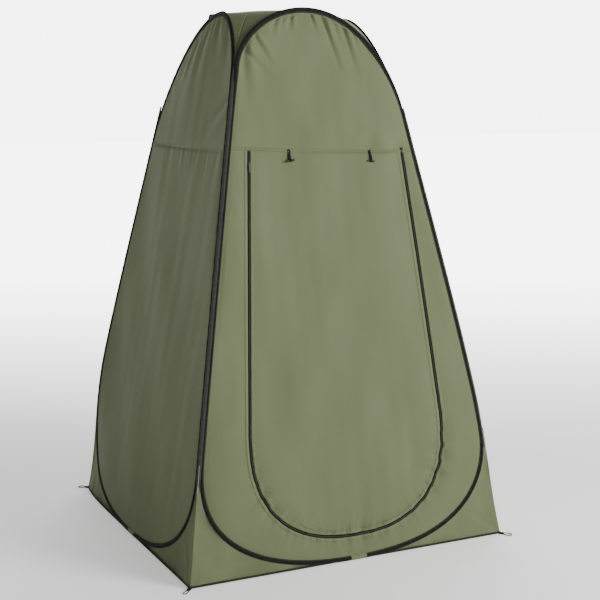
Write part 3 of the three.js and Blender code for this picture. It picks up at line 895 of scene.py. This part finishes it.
def spring(side):
    """The wire in a side's band, and the ferrule that holds its ends."""
    path = loop_path(side, 0.012, 0.0003, 0.0005)
    for half, label, part in loop_halves(side, path):
        wire = sweep(f"spring_{label}", side, path[part], circle(0.0016, 8), STEEL, on_cloth=False)
        add(wire, side, "spring_steel", *([f"wire_{side}"] if half <= 0 else []), half=half)
    crimp = [(-20, 1.9), (-19.6, 2.5), (-14, 2.6), (-12, 2.1), (-9, 2.1), (-7, 2.6)]
    ferrule = lathe(f"crimp_{side}", crimp, STEEL, local(side, JOIN_CENTRE, LOOP_BOTTOM, CLOTH_OUT))
    add(ferrule, side, "spring_steel", f"ferrule_{side}")


def seam(side):
    """The cross seam: a felled strip with two rows of stitches."""
    reach = half_width(SEAM) - BAND_INSET - BAND_WIDTH / 2 + 0.002
    u = np.linspace(-reach, reach, 121)
    line = np.column_stack([u, seam_line(side, u)])
    for half, label, part in halves(side, 60):
        felled = rounded_strip(0.0100, 0.0012)
        strip = sweep(f"seam_{label}", side, line[part], felled, CLOTH, lift=-0.0001)
        add(strip, side, "tent_fabric", half=half)
        for row, above in (("low", -0.0034), ("high", 0.0034)):
            at = line[part] + [0, above]
            stitches(f"seam_stitches_{label}_{row}", side, at, side, lift=0.0011, half=half)


def corner_tape(side, next_side, corner):
    """The tape over a corner: it joins a side's band (at +u) to the next side's (at -u)."""
    v = np.arange(0.325, 1.70 if corner == "front_left" else 1.56, 0.012)
    u = half_width(v)[:, None] - [0.0046, 0.0020, 0.0]
    over = np.array([0.0060, 0.0056, 0.0040])
    rings = []
    for n in (over, over - 0.0016):
        here = place(side, u, v[:, None], n)
        beyond = place(next_side, -u[:, 1::-1], v[:, None], n[1::-1])
        rings.append(np.concatenate([here, beyond], 1))
    points = np.concatenate([rings[0], rings[1][:, ::-1]], 1)
    path = np.column_stack([np.zeros(len(v)), v])
    obj = closed_sweep(f"corner_tape_{corner}", points, path, circle(0.006, points.shape[1]), CORNER)
    if corner in FOLDING:
        bend_at(obj)
    else:
        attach(obj, "left")


# ---- The door ----

def slope_height(joint):
    """How far up the front a joint's axis lies."""
    return (joint["pos_m"][2] - CLOTH_OUT * LEAN / SLOPE) * SLOPE


ROLLS = sorted((j for n, j in JOINTS.items() if n.startswith("door_roll")), key=slope_height, reverse=True)
FOLDS = [slope_height(j) for j in ROLLS]
STRIP_BODIES = ["front"] + [j["child"] for j in ROLLS]


def strip_middles():
    """The heights where the door's pieces meet: each is in the middle of a CAD strip."""
    ends = [SEAM, *FOLDS, DOOR_BOTTOM + DOOR_EDGE]
    return [(high + low) / 2 for high, low in zip(ends, ends[1:])]


def hang(obj, index, replaced=None):
    """Rides a door piece on its strip, or, between two strips, bakes its transform into its mesh."""
    middles = strip_middles()
    if index == 0 or index == len(STRIP_BODIES):
        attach(obj, STRIP_BODIES[min(index, len(STRIP_BODIES) - 1)])
    else:
        start, end = (
            Vector(place("front", DOOR_CENTRE, middles[i], CLOTH_OUT)) for i in (index - 1, index))
        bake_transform(obj)
    if replaced:
        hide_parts(replaced)
    return obj


def door():
    """The door's cloth, cut across the middle of each strip."""
    half = door_half(DOOR_EDGE)
    low = half[0, 1]
    cuts = [SEAM, *strip_middles(), low]
    rows = panel_rows(low, SEAM, 0.0065)
    for cut in cuts[1:-1]:
        rows[np.abs(rows - cut).argmin()] = cut
    u, v = panel_grid(half, half, rows, 0.0065)
    u = u + DOOR_CENTRE
    v = at_seam("front", u, v)
    layers = cloth_layers("front", u, v)
    for i, (high, below) in enumerate(zip(cuts, cuts[1:])):
        last = i == len(cuts) - 2
        first = 0 if last else int(np.abs(rows - below).argmin())
        part = slice(first, int(np.abs(rows - high).argmin()) + 1)
        obj = shell(f"door_{i + 1}", *(layer[part] for layer in layers))
        hang(obj, i, None if last else f"door_strip_{i + 1}")
        declare_sheet(obj, u[part], v[part], "front_surround")
    return cuts


def runs(path, low, high):
    """The slices of a path whose steps lie between two heights."""
    middle = (path[1:, 1] + path[:-1, 1]) / 2
    inside = np.concatenate([[False], (middle > low) & (middle <= high), [False]])
    edges = np.flatnonzero(np.diff(inside.astype(int)))
    return [slice(a, b + 1) for a, b in zip(edges[::2], edges[1::2])]


def zip_trims(cuts):
    """Facings on both sides of the zip, its tape and its coil."""
    facing = rounded_strip(0.0105, 0.0011)
    outside = door_path(0.006, -0.0112)
    add(sweep("zip_facing", "front", outside, facing, FACING), "front", "tent_fabric")
    stitches("zip_facing_stitches", "front", door_path(0.006, -0.0148), "front", lift=0.0010)
    inside = door_path(0.006, 0.0112)
    right = across_axis(inside)
    for i, (high, low) in enumerate(zip(cuts, [*cuts[1:-1], 0])):
        for k, part in enumerate(runs(inside, low, high)):
            name = f"door_facing_{i + 1}_{k + 1}"
            hang(sweep(name, "front", inside[part], facing, FACING, right=right[part]), i)
    tape = sweep("zip_tape", "front", door_path(0.006), rounded_strip(0.0105, 0.0010), ZIP_TAPE,
                 lift=-0.0003)
    add(tape, "front", "zip_tape", "zip_track")
    pitch = 0.0028
    path = door_path(pitch / 4)
    turn = np.cos(np.arange(len(path)) * math.pi / 2)
    a = np.linspace(0, math.pi, 6)
    arch = np.column_stack([0.0026 * np.cos(a), 0.0018 * np.sin(a)])
    coil = sweep("zip_coil", "front", path, arch, ZIP_COIL, lift=0.0006,
                 width=1 + 0.12 * turn, height=1 + 0.25 * turn)
    add(coil, "front", "zip_tape")


def slider():
    """The zip's slider at the top of the left run, its bridge, and the pull that hangs from it."""
    v = SEAM - SLIDER_DROP
    u = DOOR_CENTRE - DOOR_HALF_AT_SEAM - DOOR_FLARE * SLIDER_DROP
    n = CLOTH_OUT + 0.0011
    left = [(-0.0008, 0.0050), (-0.0030, 0.0072), (-0.0050, 0.0062), (-0.0052, 0.0025),
            (-0.0042, -0.0025), (-0.0038, -0.0066), (-0.0028, -0.0074)]
    wing = plate("slider_body", mirrored(left), 0.0014, 0.0004, PAINTED, local("front", u, v, n + 0.0015))
    add(wing, "zip_slider", "zip_metal", "zip_slider")
    a = np.linspace(0, math.pi, 9)
    arch = np.column_stack([np.zeros(9), 0.0046 * np.cos(a), 0.0028 * np.sin(a) + 0.0026])
    bridge = tube("slider_bridge", local("front", u, v, n)(arch), 0.0009, PAINTED, 8)
    add(bridge, "zip_slider", "zip_metal")
    t = np.linspace(-math.pi / 2, math.pi / 2, 9)
    end = np.column_stack([0.0040 * np.sin(t), -0.0240 - 0.0040 * np.cos(t)])
    tab = [(0.0029, 0.0010), (0.0022, 0.0020), (-0.0022, 0.0020), (-0.0029, 0.0010), *end]
    pull = plate("pull_tab", tab, 0.0016, 0.0004, PAINTED, local("front", u, v, n + 0.0044))
    add(pull, "zip_pull", "zip_metal", "zip_pull")
    grip = [(x * 0.55, y * 0.6 - 0.0085) for x, y in tab]
    raised = plate("pull_grip", grip, 0.0007, 0.0003, PAINTED, local("front", u, v, n + 0.0059))
    add(raised, "zip_pull", "zip_metal")


def toggle(which, u):
    """A strap sewn into the seam, with a barrel toggle at its lower end."""
    strap_length, bar_drop = 0.038, 0.037
    body = f"toggle_{which}"
    top = float(seam_line("front", u)) + 0.004
    path = np.column_stack([np.full(14, u), np.linspace(top, top - strap_length, 14)])
    lift = 0.0004 + 0.0016 * smooth(np.linspace(-0.4, 1, 14))
    strap = sweep(f"toggle_webbing_{which}", "front", path, rounded_strip(0.0120, 0.0018), BINDING,
                  lift=lift, width=np.linspace(0.85, 1.0, 14))
    add(strap, body, "binding_tape", f"toggle_strap_{which}")
    tilt = math.radians(7 if which == "left" else -5)
    at = local("front", u, top - 0.002 - bar_drop, CLOTH_OUT + 0.0072, tilt)
    barrel = [(-17.0, 0.4), (-16.8, 1.9), (-16.0, 2.9), (-14.5, 3.6), (-12.0, 4.0), (-9.5, 4.1),
              (-8.0, 3.7), (-6.6, 3.3)]
    bar = lathe(f"toggle_barrel_{which}", barrel, PLASTIC, at)
    add(bar, body, "toggle_plastic", f"toggle_bar_{which}")
    wrap = [(-5.9, 3.2), (-6.0, 4.2), (-5.4, 4.6)]
    fold_over = lathe(f"toggle_wrap_{which}", wrap, BINDING, at)
    add(fold_over, body, "binding_tape")


# ---- Roof ----

def roof_drop(side, share):
    """How far below the top a loop is, at a share of the way to its corner (-1 to 1)."""
    drops = []
    for sign in (-1, 1):
        arc = loop_half(side, sign, -0.003)
        arc = arc[arc[:, 1] > 1.40]
        z = arc[:, 1] / SLOPE
        at = arc[:, 0] / half_width(arc[:, 1])
        order = np.argsort(at)
        drops.append(np.interp(np.abs(share), at[order], ((LOOP_TOP + 0.003) / SLOPE - z)[order]))
    return np.where(share < 0, *drops)


def roof_height_loss(x, y):
    """The roof's drop below its top, at x and y from -1 to 1. Level lines run straight between loops."""
    past = np.maximum(np.abs(x) + np.abs(y) - 1, 0)
    front_back, left_right, rest = [], [], np.zeros_like(x)
    for side, along, turn, away in (("front", x, 1, 1 + y), ("back", x, -1, 1 - y),
                                    ("right", y, 1, 1 - x), ("left", y, -1, 1 + x)):
        middle = float(roof_drop(side, np.array([0.0]))[0])
        signed = turn * np.sign(along) * past
        drop = roof_drop(side, signed) - middle * (1 - past)
        (front_back if along is x else left_right).append(drop)
        rest = rest + middle * (1 - np.abs(along)) * np.clip(1 - away / 0.7, 0, 1) ** 2
    to_front, to_right = np.maximum(1 - np.abs(x), 1e-9), np.maximum(1 - np.abs(y), 1e-9)
    weight = to_front / (to_front + to_right)
    from_y = np.where(y < 0, front_back[0], front_back[1])
    from_x = np.where(x > 0, left_right[0], left_right[1])
    return weight * from_y + (1 - weight) * from_x + rest


def roof_half(name, turn, body_a, body_b):
    """Half of the roof, from the back-right corner to the front-left one."""
    columns, rows = 150, 76
    along = np.linspace(-1, 1, columns + 1)[None, :]
    to_corner = np.linspace(0, 0.985, rows + 1)[:, None]
    x = ((1 - to_corner) * along - to_corner) * turn
    y = ((1 - to_corner) * along + to_corner) * turn
    top = (LOOP_TOP + 0.003) / SLOPE
    z = top - roof_height_loss(x, y)
    middle = 1 - np.maximum(np.abs(x), np.abs(y)) ** 2
    out = bow_share(z * SLOPE) * (x * y) ** 4 * (
        BOW["front_left"] * (1 - x) * (1 - y) + BOW["front_right"] * (1 + x) * (1 - y)
        + BOW["back_left"] * (1 - x) * (1 + y) + BOW["back_right"] * (1 + x) * (1 + y)) / 4
    reach = GROUND - LEAN * z - 0.001
    x, y = x * (reach + out), y * (reach + out)
    z = z - 0.004 * middle + 0.0018 * middle * waves(x, y, 0.30, 0.30, 71)
    points = np.stack([x, y, z], -1)
    obj = shell(f"roof_cloth_{name}", points, points - [0, 0, SHELL], np.stack([x, y], -1))
    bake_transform(obj)
    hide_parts(f"roof_{name}")
    declare_sheet(obj, x, y, f"sleeve_{body_a}", f"sleeve_{body_b}")


# ---- Peg loops ----

def peg_loop(which, sx, sy, body, spread):
    """A cord loop sewn to a tab at a ground corner, lying on the ground."""
    t = np.linspace(0, 1, 41)
    out = 0.0365 * (1 - np.cos(2 * math.pi * t)) / 2
    aside = 1.3 * spread * np.sin(2 * math.pi * t) * np.sin(math.pi * t)
    height = 0.0019 + 0.0030 * np.exp(-out / 0.008)
    d = np.array([sx, sy]) / math.sqrt(2)
    p = np.array([-d[1], d[0]])
    corner = np.array([sx, sy]) * (GROUND + 0.0065 - TUCK[which])
    flat = corner + out[:, None] * d + aside[:, None] * p
    cord = tube(f"peg_cord_{which}", np.column_stack([flat, height]), 0.0016, CORD)
    add(cord, body, "elastic_cord", f"peg_loop_{which}")
    outline = [(-0.010, -0.006), (0.006, -0.006), (0.0085, 0), (0.006, 0.006), (-0.010, 0.006)]

    def on_ground(points):
        x, y, z = np.moveaxis(points, -1, 0)
        spot = corner + x[..., None] * d + y[..., None] * p
        return np.concatenate([spot, z[..., None] + 0.0006], -1)
    tab = plate(f"peg_tab_{which}", outline, 0.0056, 0.0012, BINDING, on_ground)
    add(tab, body, "binding_tape")


# ---- Putting it together ----

def build_tent():
    for side, (_, (at_minus, at_plus), (_, corner)) in SIDES.items():
        band(side)
        spring(side)
        panel(side, "upper", SEAM, LOOP_TOP, CELL_FINE)
        if side != "front":
            panel(side, "lower", 0, SEAM, CELL)
        seam(side)
        gusset(side, at_plus, 1)
        gusset(side, at_minus, -1)
        corner_tape(side, at_plus, corner)
    surround()
    zip_trims(door())
    slider()
    for which, u in TOGGLES.items():
        toggle(which, u)
    roof_half("back_left", 1, "back", "left")
    roof_half("front_right", -1, "right", "front")
    peg_loop("front_left", -1, -1, "left", 0.006)
    peg_loop("front_right", 1, -1, "right", 0.012)
    peg_loop("back_right", 1, 1, "back", 0.012)
    peg_loop("back_left", -1, 1, "back", 0.010)


# ---- Studio ----

def brighter_behind(tree, coordinate, low, high, dim):
    """A strength that rises from dim in front of the tent to white behind it, as the camera sees it."""
    nodes, links = tree.nodes, tree.links
    behind = nodes.new("ShaderNodeVectorMath")
    behind.operation = "DOT_PRODUCT"
    behind.inputs[1].default_value = (0.44, 0.90, 0.0)
    links.new(nodes.new("ShaderNodeTexCoord").outputs[coordinate], behind.inputs[0])
    strength = nodes.new("ShaderNodeMapRange")
    strength.interpolation_type = "SMOOTHSTEP"
    links.new(behind.outputs["Value"], strength.inputs["Value"])
    set_inputs(strength, {"From Min": low, "From Max": high, "To Min": dim, "To Max": 6.0})
    return strength.outputs["Result"]


def pale_floor():
    mesh = bpy.data.meshes.new("floor")
    mesh.from_pydata([(-30, -30, 0), (30, -30, 0), (30, 30, 0), (-30, 30, 0)], [], [(0, 1, 2, 3)])
    pale = bpy.data.materials.new("pale_floor")
    pale.use_nodes = True
    shader = pale.node_tree.nodes["Principled BSDF"]
    set_inputs(shader, {"Base Color": (0.92, 0.92, 0.92, 1), "Roughness": 0.9})
    # Painted light: the floor glows. The glow is dim beside the tent, which lightens the shadow on it, and
    # rises to white behind it, where it runs into the backdrop.
    set_inputs(shader, {"Emission Color": (1, 1, 1, 1)})
    strength = brighter_behind(pale.node_tree, "Object", 0.3, 7.0, 0.38)
    pale.node_tree.links.new(strength, shader.inputs["Emission Strength"])
    mesh.materials.append(pale)
    floor = bpy.data.objects.new("floor", mesh)
    bpy.context.scene.collection.objects.link(floor)


def backdrop():
    world = bpy.data.worlds.new("studio")
    world.use_nodes = True
    background = world.node_tree.nodes["Background"]
    set_inputs(background, {"Color": (1, 1, 1, 1)})
    strength = brighter_behind(world.node_tree, "Generated", 0.60, 0.97, 0.24)
    world.node_tree.links.new(strength, background.inputs["Strength"])
    bpy.context.scene.world = world


def softbox(name, spot, aim, size, power):
    """A square light at a spot, turned to where it aims."""
    light = bpy.data.lights.new(name, "AREA")
    light.size = size
    light.energy = power
    obj = bpy.data.objects.new(name, light)
    obj.location = spot
    obj.rotation_euler = (Vector(aim) - Vector(spot)).to_track_quat("-Z", "Y").to_euler()
    bpy.context.scene.collection.objects.link(obj)


def studio():
    scene = bpy.context.scene
    camera = bpy.data.objects.new("camera", bpy.data.cameras.new("camera"))
    camera.data.sensor_width = 36
    camera.data.lens = 78.1
    camera.location = (-2.035, -4.345, 1.616)
    camera.rotation_euler = (math.radians(90 - 9.49), 0, math.radians(-26.05))
    scene.collection.objects.link(camera)
    scene.camera = camera
    pale_floor()
    backdrop()
    softbox("key", (3.5, -4.8, 2.7), (0.1, -0.3, 0.7), 2.6, 450)
    softbox("top", (0.6, -1.0, 5.0), (0, 0, 1.0), 3.0, 30)


studio()
build_tent()
